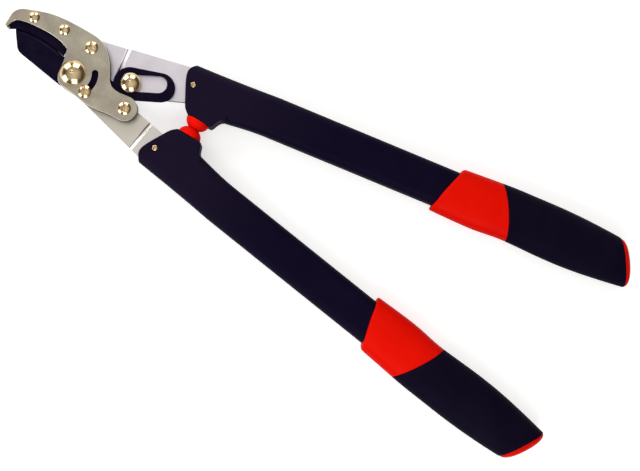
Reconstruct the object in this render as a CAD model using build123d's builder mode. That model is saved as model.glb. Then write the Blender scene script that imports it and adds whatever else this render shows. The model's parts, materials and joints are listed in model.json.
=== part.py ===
from build123d import *
import os
from math import cos, radians, sin, sqrt

# Anvil lopper with a compound linkage, shown closed. All sizes are in millimetres.
# The origin lies on the main pivot's axis, at the rear face of its lock nut, which meets the bench.
# +Z points out of the front of the tool. +X runs back along the line midway between the handles.

# Flat pieces stacked on the main pivot, from the rear
nut_height = 7.5
washer_thickness = 1.5
arm_thickness = 5.0
plate_thickness = 2.5
blade_thickness = 3.5
blade_play = 0.25
ring_play = 0.45
arm_play = 0.1

# Pivots and fasteners, as a radius and an angle about the main pivot
arm_pivot_radius = 28.2
arm_pivot_angle = 86.1
link_radius = 50.9
link_angle = 21.8
stop_radius = 19.4
stop_angle = -27.6
lower_bolt_radius = 55.1
lower_bolt_angle = -4.0
front_rivet_radius = 61.0
front_rivet_angle = 155.2
rear_rivet_radius = 40.0
rear_rivet_angle = 132.2

# Travel of the mechanism
blade_opening = 55.4
slot_spare_angle = 3.0
link_slide = 24.3

# Round parts of the fasteners
pivot_shank = 5.0
pivot_head_radius = 11.2
pivot_head_height = 6.8
dome_flange = 0.5
dome_dimple = 1.6
pivot_sleeve_wall = 3.0
arm_shank = 3.5
arm_sleeve_wall = 1.5
lower_shank = 3.0
lower_sleeve_wall = 2.2
link_shank = 4.0
link_head_radius = 8.9
link_head_height = 5.6
screw_head_radius = 5.8
screw_head_height = 2.6
screw_rim = 0.6
stop_shank = 2.5
rivet_shank = 2.6
rivet_head_radius = 5.0
rivet_head_height = 2.1
rivet_spread = 1.4
handle_screw_shank = 1.9
handle_screw_head = 2.9
handle_screw_depth = 2.4
handle_screw_length = 16.0
small_washer_thickness = 1.0
small_nut_height = 5.0
running_fit = 0.06
loose_fit = 0.15

# Side plates
lobe_radius = 11.3
heel_radius = 15.2
heel_growth = 2.0
slot_half_width = 2.95
plate_edge_break = 0.4

# Blade
ring_slot_half_width = 8.1
ring_slot_tilt = 27.5
ring_slot_offset = 0.5
ring_head_radius = 14.8
ring_end_radius = 13.0
hub_radius = 14.6
hub_cover_radius = 22.4
stop_boss_radius = 6.6
neck_radius = 4.0
neck_reach = 44.0
neck_rise = 7.5
bush_play = 0.7
edge_gap = 0.15
bevel_width = 3.2
spine_end_reach = 6.4
spine_end_drop = 14.8

# Cutting edge, blade tip and anvil, as distances from the two rivets
edge_tip_back = 9.8
edge_tip_drop = 16.9
edge_middle_ahead = 13.4
edge_middle_drop = 13.2
edge_heel_ahead = 11.1
edge_heel_drop = 21.0
tip_corner_ahead = 10.2
tip_corner_drop = 13.7
spine_start_ahead = 16.6
spine_start_drop = 17.1
anvil_heel_ahead = 9.2
anvil_heel_drop = 10.0
anvil_nose_back = 15.2
anvil_nose_drop = 12.0
anvil_tip_back = 16.2
anvil_tip_drop = 17.0
anvil_foot_back = 14.1
anvil_foot_drop = 19.2

# Arms
lower_root_radius = 12.0
upper_root_radius = 10.0
link_boss_radius = 11.9
arm_half_width = 15.4
tang_half_width = 11.0
shoulder_station = 102.0
tang_station = 160.0
lower_joggle_station = 79.0
upper_joggle_station = 30.4
joggle_length = 4.5
joggle_bend = 2.0

# Handles, each measured along its own axis from the line through the main pivot
handle_angle = 8.24
middle_y = 12.8
handle_offset = 20.46
shaft_half_width = 18.6
shaft_shift = 0.3
shaft_height = 21.0
shaft_round = 8.0
shaft_front = 88.4
shaft_front_half_width = 17.5
shaft_waist = 172.0
shaft_end = 480.0
shaft_wall = 3.0
wing_start = 104.7
wing_finish = 128.9
wing_round = 1.6
bumper_middle = 115.4
screw_station = 97.0
screw_shift = 1.2
bumper_height = 7.9
bumper_gap = 0.2
bumper_base_radius = 10.9
bumper_tip_radius = 5.2
bumper_bulge = 1.3
stud_radius = 3.0
stud_length = 8.0

# Grips
grip_front = 344.4
grip_front_slant = 0.355
grip_front_bow = 1.6
grip_joint = 400.8
grip_joint_slant = 0.44
grip_joint_bow = 3.2
grip_end = 520.6
grip_end_slant = 25.2
grip_fit = 0.1
socket_fit = 0.1
grip_end_round = 1.4
collar_round = 1.4
cap_shift = 0.6
cap_thickness = 5.0
cap_round = 3.2
cap_half_width = 20.0
cap_half_height = 9.8
plug_half_width = 11.0
plug_half_height = 5.5
plug_length = 12.0

# Levels of the stack
root_low = nut_height + washer_thickness
root_high = root_low + arm_thickness
back_high = root_high + plate_thickness
blade_low = back_high + blade_play
blade_high = blade_low + blade_thickness
front_low = blade_high + blade_play
front_high = front_low + plate_thickness
arm_high = blade_low - ring_play
arm_low = arm_high - arm_thickness
handle_level = arm_low + arm_thickness / 2


def polar(radius, angle, centre=(0, 0)):
    """Point at a radius and an angle in degrees from a centre."""
    return (centre[0] + radius * cos(radians(angle)), centre[1] + radius * sin(radians(angle)))


def shifted(point, dx, dy):
    """Point moved by dx and dy."""
    return (point[0] + dx, point[1] + dy)


main_pivot = (0.0, 0.0)
arm_pivot = polar(arm_pivot_radius, arm_pivot_angle)
link_point = polar(link_radius, link_angle)
stop_point = polar(stop_radius, stop_angle)
lower_bolt_point = polar(lower_bolt_radius, lower_bolt_angle)
front_rivet = polar(front_rivet_radius, front_rivet_angle)
rear_rivet = polar(rear_rivet_radius, rear_rivet_angle)

pivot_sleeve_radius = pivot_shank + pivot_sleeve_wall
arm_sleeve_radius = arm_shank + arm_sleeve_wall
lower_sleeve_radius = lower_shank + lower_sleeve_wall
bush_radius = ring_slot_half_width - bush_play

# The lower handle's own frame: X along the handle, Y towards the other handle, Z to the front
lean = radians(handle_angle)
handle_frame = Plane(
    origin=(0, middle_y - handle_offset, handle_level),
    x_dir=(cos(lean), -sin(lean), 0),
    z_dir=(0, 0, 1),
)
mirror_plane = Plane(origin=(0, middle_y, 0), x_dir=(1, 0, 0), z_dir=(0, 1, 0))


def on_handle(station, shift):
    """Point of the lower handle at a station along it and a shift towards the other handle."""
    place = handle_frame.from_local_coords((station, shift, 0))
    return (place.X, place.Y)


def across(station, shift=0.0):
    """Plane square to the lower handle: X towards the other handle, Y to the front."""
    return Plane(
        origin=handle_frame.from_local_coords((station, shift, 0)),
        x_dir=(sin(lean), cos(lean), 0),
        z_dir=(cos(lean), -sin(lean), 0),
    )


def mirrored(point):
    """Point on the upper handle's side that answers one on the lower handle's side."""
    return (point[0], 2 * middle_y - point[1])


def clockwise(angle):
    """Direction of travel clockwise round a circle, at an angle in degrees."""
    return (sin(radians(angle)), -cos(radians(angle)))


def cap_rise(base_radius, height, reach):
    """Height of a round cap over its base, at a distance from its axis."""
    ball = (base_radius ** 2 + height ** 2) / (2 * height)
    return sqrt(ball ** 2 - reach ** 2) - (ball - height)


def draw_plate_outline():
    """Outline of both side plates, drawn clockwise from the tip of the hook."""
    hook_out = shifted(front_rivet, -18.5, -19.4)
    hook_in = shifted(front_rivet, -15.6, -20.0)
    nose_top = shifted(front_rivet, -10.4, 2.4)
    nose_side = shifted(front_rivet, -18.6, -7.3)
    shoulder = shifted(arm_pivot, 15.9, 1.9)
    lobe_top = polar(lobe_radius, 98, lower_bolt_point)
    lobe_bottom = polar(lobe_radius, -92, lower_bolt_point)
    throat = shifted(rear_rivet, 10.7, -13.6)
    Line(hook_in, hook_out)
    Line(hook_out, nose_side)
    ThreePointArc(nose_side, shifted(front_rivet, -15.4, -1.0), nose_top)
    Spline(
        nose_top,
        shifted(front_rivet, 8.8, 9.7),
        shifted(rear_rivet, 1.3, 8.9),
        shifted(arm_pivot, -7.8, 10.9),
        shifted(arm_pivot, 4.3, 9.6),
        shoulder,
        tangents=((0.93, 0.36), (0.71, -0.71)),
    )
    Spline(
        shoulder,
        shifted(arm_pivot, 24.5, -9.6),
        shifted(lower_bolt_point, -19.3, 11.0),
        shifted(lower_bolt_point, -8.5, 10.1),
        lobe_top,
        tangents=((0.71, -0.71), clockwise(98)),
    )
    ThreePointArc(lobe_top, polar(lobe_radius, 0, lower_bolt_point), lobe_bottom)
    Spline(
        lobe_bottom,
        shifted(lower_bolt_point, -15.0, -12.7),
        shifted(lower_bolt_point, -31.0, -14.1),
        polar(heel_radius + heel_growth, -65),
        polar(heel_radius, -88),
        polar(heel_radius, -110),
        polar(heel_radius - 1.1, -132),
        polar(heel_radius - 2.3, 167),
        throat,
        tangents=(clockwise(-92), (-0.28, 0.96)),
    )
    Spline(
        throat,
        shifted(rear_rivet, -7.4, -9.5),
        shifted(front_rivet, 9.2, -5.9),
        shifted(front_rivet, -5.4, -7.9),
        shifted(front_rivet, -12.2, -10.3),
    )
    Spline(shifted(front_rivet, -12.2, -10.3), shifted(front_rivet, -14.6, -14.5), hook_in)


with BuildPart() as front_plate:
    with BuildSketch(Plane.XY.offset(front_low)):
        with BuildLine():
            draw_plate_outline()
        make_face()
    extrude(amount=plate_thickness)
    chamfer(front_plate.faces().sort_by(Axis.Z)[-1].edges(), plate_edge_break)
    with BuildSketch(Plane.XY.offset(front_low)):
        Circle(pivot_shank + loose_fit)
        with Locations(arm_pivot):
            Circle(arm_shank + loose_fit)
        with Locations(lower_bolt_point):
            Circle(lower_shank + loose_fit)
        with Locations(front_rivet, rear_rivet):
            Circle(rivet_shank)
        with BuildLine() as stop_track:
            CenterArc(
                main_pivot,
                stop_radius,
                stop_angle - slot_spare_angle / 2,
                blade_opening + 1.5 * slot_spare_angle,
            )
        SlotArc(stop_track.edge(), 2 * slot_half_width)
    extrude(amount=plate_thickness, mode=Mode.SUBTRACT)

with BuildPart() as back_plate:
    with BuildSketch(Plane.XY.offset(root_high)):
        with BuildLine():
            draw_plate_outline()
        make_face()
    extrude(amount=plate_thickness)
    with BuildSketch(Plane.XY.offset(root_high)):
        Circle(pivot_shank + loose_fit)
        with Locations(arm_pivot):
            Circle(arm_shank + loose_fit)
        with Locations(lower_bolt_point):
            Circle(lower_shank + loose_fit)
        with Locations(front_rivet, rear_rivet):
            Circle(rivet_shank)
    extrude(amount=plate_thickness, mode=Mode.SUBTRACT)

# The cutting edge is a shallow arc. The anvil's face follows it, edge_gap away.
edge_tip = shifted(front_rivet, -edge_tip_back, -edge_tip_drop)
edge_middle = shifted(front_rivet, edge_middle_ahead, -edge_middle_drop)
edge_heel = shifted(rear_rivet, edge_heel_ahead, -edge_heel_drop)

with BuildPart() as anvil:
    with BuildSketch(Plane.XY.offset(back_high)):
        with BuildLine():
            face_tip = shifted(edge_tip, -0.7, edge_gap)
            face_heel = shifted(edge_heel, -0.9, edge_gap + 0.4)
            ThreePointArc(face_tip, shifted(edge_middle, 0, edge_gap), face_heel)
            Polyline(
                face_heel,
                shifted(rear_rivet, anvil_heel_ahead, -anvil_heel_drop),
                shifted(rear_rivet, 7.0, 2.0),
                shifted(rear_rivet, 2.0, 5.6),
            )
            Spline(
                shifted(rear_rivet, 2.0, 5.6),
                shifted(rear_rivet, -12.0, 3.2),
                shifted(front_rivet, 0.0, 4.6),
                shifted(front_rivet, -8.4, -0.6),
            )
            Polyline(
                shifted(front_rivet, -8.4, -0.6),
                shifted(front_rivet, -anvil_nose_back, -anvil_nose_drop),
                shifted(front_rivet, -anvil_tip_back, -anvil_tip_drop),
                shifted(front_rivet, -anvil_foot_back, -anvil_foot_drop),
                face_tip,
            )
        make_face()
        with Locations(front_rivet, rear_rivet):
            Circle(rivet_shank, mode=Mode.SUBTRACT)
    extrude(amount=front_low - back_high)


def domed_rivet(centre):
    """Rivet through both plates: a round head in front and its peened end behind."""
    upright = Plane(origin=(centre[0], centre[1], 0), x_dir=(1, 0, 0), z_dir=(0, -1, 0))
    half_way = rivet_head_radius / 2
    rise = cap_rise(rivet_head_radius, rivet_head_height, half_way)
    front_tip = (0, front_high + rivet_head_height)
    front_side = (rivet_head_radius, front_high)
    peened_low = root_high - rivet_head_height / 2
    with BuildPart() as rivet:
        with BuildSketch(upright):
            with BuildLine():
                ThreePointArc(front_tip, (half_way, front_high + rise), front_side)
                Polyline(
                    front_side,
                    (rivet_shank, front_high),
                    (rivet_shank, root_high),
                    (rivet_shank + rivet_spread, root_high),
                    (rivet_shank, peened_low),
                    (0, peened_low),
                    front_tip,
                )
            make_face()
        revolve(axis=Axis((centre[0], centre[1], 0), (0, 0, 1)))
    return rivet.part


with BuildPart() as anvil_rivets:
    add(domed_rivet(front_rivet))
    add(domed_rivet(rear_rivet))

# Blade: jaw, hub and slotted tail in one piece
slot_side = (-sin(radians(ring_slot_tilt)), cos(radians(ring_slot_tilt)))
slot_near = shifted(link_point, ring_slot_offset * slot_side[0], ring_slot_offset * slot_side[1])
slot_start = polar(-0.4, ring_slot_tilt, slot_near)
slot_finish = polar(link_slide, ring_slot_tilt, slot_near)
ring_near = shifted(link_point, -0.5, -0.7)
ring_far = shifted(polar(link_slide + 2.0, ring_slot_tilt, link_point), 1.1, -2.0)
tip_corner = shifted(edge_tip, tip_corner_ahead, -tip_corner_drop)
spine_start = shifted(edge_tip, spine_start_ahead, -spine_start_drop)
spine_finish = shifted(main_pivot, -spine_end_reach, -spine_end_drop)

with BuildPart() as blade:
    with BuildSketch(Plane.XY.offset(blade_low)):
        with BuildLine():
            ThreePointArc(edge_tip, edge_middle, edge_heel)
            Polyline(
                edge_heel,
                polar(hub_radius, 100),
                polar(hub_radius, -98),
                spine_finish,
                spine_start,
            )
            Spline(spine_start, shifted(tip_corner, 2.2, -1.9), tip_corner)
            Line(tip_corner, edge_tip)
        make_face()
    extrude(amount=blade_thickness)
    edge_face = blade.faces().filter_by(GeomType.CYLINDER).sort_by(Axis.Y)[-1]
    for corner in edge_face.edges().filter_by(GeomType.CIRCLE):
        chamfer(corner, blade_thickness / 2 - 0.3, bevel_width, reference=edge_face)
    with BuildSketch(Plane.XY.offset(blade_low)) as tail_plan:
        Circle(hub_radius)
        with Locations(stop_point):
            Circle(stop_boss_radius)
        with Locations((neck_reach, neck_rise)):
            Circle(neck_radius)
        make_hull()
    with BuildSketch(Plane.XY.offset(blade_low)) as ring_plan:
        with Locations(ring_near):
            Circle(ring_head_radius)
        with Locations(ring_far):
            Circle(ring_end_radius)
        make_hull()
    with BuildSketch(Plane.XY.offset(blade_low)) as cover_plan:
        with BuildLine():
            Line(main_pivot, polar(hub_cover_radius, 0))
            CenterArc(main_pivot, hub_cover_radius, 0, 48)
            Line(polar(hub_cover_radius, 48), main_pivot)
        make_face()
    extrude(amount=blade_thickness)
    with BuildSketch(Plane.XY.offset(blade_low)):
        with BuildLine() as relief_track:
            CenterArc(
                main_pivot,
                arm_pivot_radius,
                arm_pivot_angle - blade_opening,
                blade_opening + 20,
            )
        SlotArc(relief_track.edge(), 2 * (arm_sleeve_radius + 0.8))
        Circle(pivot_sleeve_radius + running_fit)
        with Locations(stop_point):
            Circle(stop_shank)
    extrude(amount=blade_thickness, mode=Mode.SUBTRACT)
    with BuildSketch(Plane.XY.offset(blade_low)):
        with Locations(slot_start, slot_finish):
            Circle(ring_slot_half_width)
        make_hull()
    extrude(amount=blade_thickness, mode=Mode.SUBTRACT)


def draw_bar_end():
    """Square shoulder of an arm's bar, inside the handle."""
    Line(on_handle(shoulder_station, -arm_half_width), on_handle(shoulder_station, arm_half_width))


def draw_tang():
    """Outline of the narrow tang that the handle grips."""
    Polyline(
        on_handle(shoulder_station - 5, -tang_half_width),
        on_handle(tang_station, -tang_half_width),
        on_handle(tang_station, tang_half_width),
        on_handle(shoulder_station - 5, tang_half_width),
        close=True,
    )


def lower_arm_plan(spread=0.0):
    """Outline of the lower arm seen from the front, grown all round by spread."""
    with BuildSketch() as plan:
        with BuildLine():
            CenterArc(main_pivot, lower_root_radius, 0, 360)
            draw_bar_end()
        make_hull()
        with BuildLine():
            draw_tang()
        make_face()
        if spread:
            offset(amount=spread)
    return plan.sketch


def upper_arm_plan(spread=0.0):
    """Outline of the upper arm, laid out on the lower handle's side, grown all round by spread."""
    root = mirrored(arm_pivot)
    link = mirrored(link_point)
    with BuildSketch() as plan:
        with BuildLine():
            CenterArc(root, upper_root_radius, 0, 360)
            CenterArc(link, 0.64 * link_boss_radius, 0, 360)
            draw_bar_end()
        make_hull()
        with BuildLine():
            draw_tang()
        make_face()
    with BuildSketch() as boss:
        with BuildLine():
            CenterArc(link, link_boss_radius, 0, 360)
            draw_bar_end()
        make_hull()
    with BuildSketch() as joined:
        add(plan.sketch)
        add(boss.sketch)
        if spread:
            offset(amount=spread)
    return joined.sketch


def joggled_bar(plan, joggle_station, root_top):
    """Flat bar of the given outline, with its root stepped down to lie behind the head."""
    side_view = Plane(
        origin=handle_frame.from_local_coords((0, 0, -handle_level)),
        x_dir=handle_frame.x_dir,
        z_dir=-handle_frame.y_dir,
    )
    start = joggle_station - joggle_length / 2
    finish = joggle_station + joggle_length / 2
    with BuildPart() as bar:
        with BuildSketch(side_view) as side:
            with BuildLine():
                Polyline(
                    (-60, root_top - arm_thickness),
                    (start, root_top - arm_thickness),
                    (finish, arm_low),
                    (tang_station + 5, arm_low),
                    (tang_station + 5, arm_high),
                    (finish, arm_high),
                    (start, root_top),
                    (-60, root_top),
                    close=True,
                )
            make_face()
            bends = side.vertices().filter_by_position(Axis.X, start - 1, finish + 1)
            fillet(bends, joggle_bend)
        extrude(amount=80, both=True)
        with BuildSketch():
            add(plan)
        extrude(amount=front_high, mode=Mode.INTERSECT)
    return bar.part


with BuildPart() as lower_arm:
    add(joggled_bar(lower_arm_plan(), lower_joggle_station, root_high))
    with BuildSketch(Plane.XY.offset(front_high)):
        Circle(pivot_shank + loose_fit)
        with Locations(lower_bolt_point):
            Circle(lower_shank + loose_fit)
        with Locations(on_handle(screw_station, screw_shift)):
            Circle(handle_screw_shank + loose_fit)
    extrude(amount=-front_high, mode=Mode.SUBTRACT)

with BuildPart() as upper_arm:
    mirror(joggled_bar(upper_arm_plan(), upper_joggle_station, root_high - arm_play), mirror_plane)
    with BuildSketch(Plane.XY.offset(front_high)):
        with Locations(arm_pivot):
            Circle(arm_shank + running_fit)
        with Locations(link_point):
            Circle(link_shank + loose_fit)
        with Locations(mirrored(on_handle(screw_station, screw_shift))):
            Circle(handle_screw_shank + loose_fit)
    extrude(amount=-front_high, mode=Mode.SUBTRACT)


def domed_bolt(centre, seat, foot, shank, head_radius, head_height):
    """Bolt with a round dome on a thin flange, dimpled on top, and a plain shank down to its foot."""
    upright = Plane(origin=(centre[0], centre[1], 0), x_dir=(1, 0, 0), z_dir=(0, -1, 0))
    flange_top = seat + dome_flange
    dome_height = head_height - dome_flange
    dimple_rim = (dome_dimple, flange_top + cap_rise(head_radius, dome_height, dome_dimple))
    half_way = (head_radius / 2, flange_top + cap_rise(head_radius, dome_height, head_radius / 2))
    dimple_floor = (0, seat + head_height - dome_dimple / 2)
    with BuildPart() as bolt:
        with BuildSketch(upright):
            with BuildLine():
                Line((0, foot), dimple_floor)
                Spline(dimple_floor, dimple_rim, tangents=((1, 0), (0.8, 0.6)))
                ThreePointArc(dimple_rim, half_way, (head_radius, flange_top))
                Polyline(
                    (head_radius, flange_top),
                    (head_radius, seat),
                    (shank, seat),
                    (shank, foot),
                    (0, foot),
                )
            make_face()
        revolve(axis=Axis((centre[0], centre[1], 0), (0, 0, 1)))
    return bolt.part


def cross_screw(centre, seat, foot, shank):
    """Pan head screw with a cross recess, and a plain shank down to its foot."""
    half_rise = cap_rise(screw_head_radius, screw_head_height - screw_rim, screw_head_radius / 2)
    with BuildPart() as screw:
        with BuildSketch(Plane(origin=(centre[0], centre[1], 0), x_dir=(1, 0, 0), z_dir=(0, -1, 0))):
            with BuildLine():
                Polyline(
                    (0, foot),
                    (shank, foot),
                    (shank, seat),
                    (screw_head_radius, seat),
                    (screw_head_radius, seat + screw_rim),
                )
                ThreePointArc(
                    (screw_head_radius, seat + screw_rim),
                    (screw_head_radius / 2, seat + screw_rim + half_rise),
                    (0, seat + screw_head_height),
                )
                Line((0, seat + screw_head_height), (0, foot))
            make_face()
        revolve(axis=Axis((centre[0], centre[1], 0), (0, 0, 1)))
        with BuildSketch(Plane(origin=(centre[0], centre[1], seat + screw_head_height))):
            Rectangle(0.95 * screw_head_radius, 0.22 * screw_head_radius, rotation=28)
            Rectangle(0.22 * screw_head_radius, 0.95 * screw_head_radius, rotation=28)
        extrude(amount=-0.5 * screw_head_height, mode=Mode.SUBTRACT)
    return screw.part


def lock_nut(centre, top, height, shank):
    """Hexagon lock nut with a round collar at its rear end, below the given level."""
    across_flats = 3.3 * shank
    with BuildPart() as nut:
        with BuildSketch(Plane(origin=(centre[0], centre[1], top))):
            RegularPolygon(across_flats / 2, 6, major_radius=False)
        extrude(amount=-0.72 * height)
        with BuildSketch(Plane(origin=(centre[0], centre[1], top - 0.72 * height))):
            Circle(0.44 * across_flats)
        extrude(amount=-0.28 * height)
        chamfer(nut.faces().sort_by(Axis.Z)[0].edges(), 0.12 * height)
        with BuildSketch(Plane(origin=(centre[0], centre[1], top))):
            Circle(shank + 0.02)
        extrude(amount=-height, mode=Mode.SUBTRACT)
    return nut.part


def ring_piece(centre, low, high, outer, inner):
    """Plain sleeve or washer between two levels."""
    with BuildPart() as ring:
        with BuildSketch(Plane(origin=(centre[0], centre[1], low))):
            Circle(outer)
            Circle(inner, mode=Mode.SUBTRACT)
        extrude(amount=high - low)
    return ring.part


with BuildPart() as pivot_bolt:
    add(domed_bolt(main_pivot, front_high, 0.0, pivot_shank, pivot_head_radius, pivot_head_height))
with BuildPart() as pivot_sleeve:
    add(ring_piece(main_pivot, back_high, front_low, pivot_sleeve_radius, pivot_shank + loose_fit))
with BuildPart() as pivot_washer:
    add(ring_piece(main_pivot, nut_height, root_low, 2 * pivot_shank, pivot_shank + loose_fit))
with BuildPart() as pivot_nut:
    add(lock_nut(main_pivot, nut_height, nut_height, pivot_shank))

arm_washer_low = root_low - arm_play - small_washer_thickness
with BuildPart() as arm_pivot_screw:
    add(cross_screw(arm_pivot, front_high, arm_washer_low - small_nut_height - 0.6, arm_shank))
with BuildPart() as arm_pivot_sleeve:
    add(ring_piece(arm_pivot, back_high, front_low, arm_sleeve_radius, arm_shank + loose_fit))
with BuildPart() as arm_pivot_washer:
    add(ring_piece(arm_pivot, arm_washer_low, root_low - arm_play, 2 * arm_shank, arm_shank + loose_fit))
with BuildPart() as arm_pivot_nut:
    add(lock_nut(arm_pivot, arm_washer_low, small_nut_height, arm_shank))

with BuildPart() as lower_arm_screw:
    add(cross_screw(lower_bolt_point, front_high, root_low - small_nut_height - 0.6, lower_shank))
with BuildPart() as lower_arm_sleeve:
    add(ring_piece(lower_bolt_point, back_high, front_low, lower_sleeve_radius, lower_shank + loose_fit))
with BuildPart() as lower_arm_nut:
    add(lock_nut(lower_bolt_point, root_low, small_nut_height, lower_shank))

with BuildPart() as stop_screw:
    add(cross_screw(stop_point, front_high + arm_play, blade_low, stop_shank))

with BuildPart() as link_bolt:
    link_seat = blade_high + 0.2
    link_foot = arm_low - small_nut_height - 0.6
    add(domed_bolt(link_point, link_seat, link_foot, link_shank, link_head_radius, link_head_height))
with BuildPart() as link_bush:
    add(ring_piece(link_point, arm_high, link_seat, bush_radius, link_shank + loose_fit))
with BuildPart() as link_nut:
    add(lock_nut(link_point, arm_low, small_nut_height, link_shank))

# Handle shaft: one moulding from its flared front, with the bumper's wing, back to the grip's end
wing_face_y = middle_y - bumper_gap / 2 - bumper_height
shaft_top = handle_level + shaft_height / 2
bumper_seat = Plane(
    origin=(bumper_middle, wing_face_y, handle_level),
    x_dir=(1, 0, 0),
    z_dir=(0, 1, 0),
)
wing_face_start = handle_frame.to_local_coords(Vector(wing_start, wing_face_y, 0))
wing_face_end = handle_frame.to_local_coords(Vector(wing_finish, wing_face_y, 0))
# Each section of the flared front: its station, its outer side and its inner side
shaft_profile = [
    (80.0, shaft_front_half_width, 22.6),
    (134.0, 17.8, 21.3),
    (152.0, 18.2, 19.4),
    (shaft_waist, shaft_half_width + shaft_shift, shaft_half_width - shaft_shift),
]

with BuildPart() as wing:
    with BuildSketch(handle_frame.offset(-shaft_height / 2)):
        with BuildLine():
            Polyline(
                (wing_face_end.X, wing_face_end.Y),
                (wing_face_start.X, wing_face_start.Y),
                (shaft_front - 6, 5.0),
                (shaft_front - 6, 0.0),
                (wing_face_end.X + 14, 0.0),
                (wing_face_end.X + 10, wing_face_end.Y - 11.5),
                (wing_face_end.X + 6, wing_face_end.Y - 9.4),
                (wing_face_end.X + 3.7, wing_face_end.Y - 6.8),
                close=True,
            )
        make_face()
    extrude(amount=shaft_height)
    fillet(wing.edges().filter_by(Axis.Z).filter_by_position(Axis.Y, wing_face_y - 0.1, middle_y), 2.4)
    fillet(wing.edges().group_by(Axis.Z)[-1] + wing.edges().group_by(Axis.Z)[0], wing_round)

with BuildPart() as lower_shaft:
    for station, outer_side, inner_side in shaft_profile:
        with BuildSketch(across(station, (inner_side - outer_side) / 2)):
            RectangleRounded(outer_side + inner_side, shaft_height, shaft_round)
    loft()
    add(wing)
    with BuildSketch(across(shaft_waist, -shaft_shift)):
        RectangleRounded(2 * shaft_half_width, shaft_height, shaft_round)
    extrude(amount=shaft_end - shaft_waist)
    # The front is cut to a curve that leans back towards the bumper
    with BuildSketch(handle_frame.offset(-shaft_height)):
        with BuildLine():
            Spline(
                (shaft_front + 8.0, -shaft_half_width - 4),
                (shaft_front + 2.6, -shaft_half_width + 4.1),
                (shaft_front + 0.2, -10.6),
                (shaft_front + 1.1, 0.2),
                (shaft_front + 6.1, 13.6),
                (wing_face_start.X - 2.1, wing_face_start.Y - 2.0),
                (wing_face_start.X + 1.5, wing_face_start.Y + 2.0),
            )
            Polyline(
                (wing_face_start.X + 1.5, wing_face_start.Y + 2.0),
                (shaft_front - 30, wing_face_start.Y + 2.0),
                (shaft_front - 30, -shaft_half_width - 4),
                (shaft_front + 8.0, -shaft_half_width - 4),
            )
        make_face()
    extrude(amount=2 * shaft_height, mode=Mode.SUBTRACT)
    with BuildSketch(across(shaft_waist, -shaft_shift)):
        RectangleRounded(
            2 * (shaft_half_width - shaft_wall),
            shaft_height - 2 * shaft_wall,
            shaft_round - shaft_wall,
        )
    extrude(amount=shaft_end - shaft_waist, mode=Mode.SUBTRACT)
    with BuildSketch(Plane.XY.offset(arm_low - socket_fit)):
        add(lower_arm_plan(socket_fit))
    extrude(amount=arm_thickness + 2 * socket_fit, mode=Mode.SUBTRACT)
    with BuildSketch(Plane.XY.offset(shaft_top)):
        with Locations(on_handle(screw_station, screw_shift)):
            Circle(handle_screw_head + loose_fit)
    extrude(amount=-handle_screw_depth, mode=Mode.SUBTRACT)
    with BuildSketch(Plane.XY.offset(shaft_top)):
        with Locations(on_handle(screw_station, screw_shift)):
            Circle(handle_screw_shank + loose_fit)
    extrude(amount=-handle_screw_depth - handle_screw_length, mode=Mode.SUBTRACT)
    with BuildSketch(bumper_seat):
        Circle(stud_radius + loose_fit)
    extrude(amount=-stud_length, mode=Mode.SUBTRACT)

with BuildPart() as lower_shaft_screw:
    seat = shaft_top - handle_screw_depth
    with BuildSketch(Plane.XY.offset(seat - handle_screw_length)):
        with Locations(on_handle(screw_station, screw_shift)):
            Circle(handle_screw_shank)
    extrude(amount=handle_screw_length)
    with BuildSketch(Plane.XY.offset(seat)):
        with Locations(on_handle(screw_station, screw_shift)):
            Circle(handle_screw_head)
    extrude(amount=handle_screw_depth)
    chamfer(lower_shaft_screw.edges().group_by(Axis.Z)[-1], 0.7)
    with BuildSketch(Plane.XY.offset(shaft_top)):
        with Locations(on_handle(screw_station, screw_shift)):
            RegularPolygon(0.5 * handle_screw_head, 6)
    extrude(amount=-0.7 * handle_screw_depth, mode=Mode.SUBTRACT)

with BuildPart() as lower_bumper:
    with BuildSketch(Plane((bumper_middle, wing_face_y, handle_level))):
        with BuildLine():
            Polyline(
                (0, bumper_height),
                (0, -stud_length),
                (stud_radius, -stud_length),
                (stud_radius, 0),
                (bumper_base_radius, 0),
            )
            ThreePointArc(
                (bumper_base_radius, 0),
                (
                    (bumper_base_radius + bumper_tip_radius) / 2 + bumper_bulge,
                    (bumper_height + bumper_bulge) / 2,
                ),
                (bumper_tip_radius, bumper_height),
            )
            Line((bumper_tip_radius, bumper_height), (0, bumper_height))
        make_face()
    revolve(axis=Axis((bumper_middle, 0, handle_level), (0, 1, 0)))

# Grip: a loft of ovals over the shaft. Its front is the red collar and its end takes the red cap
end_plane = Plane(
    origin=handle_frame.from_local_coords((grip_end, 0, 0)),
    x_dir=(sin(lean + radians(grip_end_slant)), cos(lean + radians(grip_end_slant)), 0),
    z_dir=(cos(lean + radians(grip_end_slant)), -sin(lean + radians(grip_end_slant)), 0),
)
grip_clear = 30.0
grip_profile = [
    (330.0, 22.4, 22.6, 25.0),
    (360.0, 24.2, 24.0, 26.0),
    (385.0, 25.3, 24.2, 26.6),
    (404.0, 25.9, 23.1, 26.8),
    (424.0, 25.8, 23.6, 27.2),
    (450.0, 25.5, 24.8, 27.5),
    (480.0, 23.9, 24.6, 27.0),
    (505.0, 21.5, 22.9, 25.0),
    (540.0, 17.2, 19.5, 21.0),
]

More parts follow.
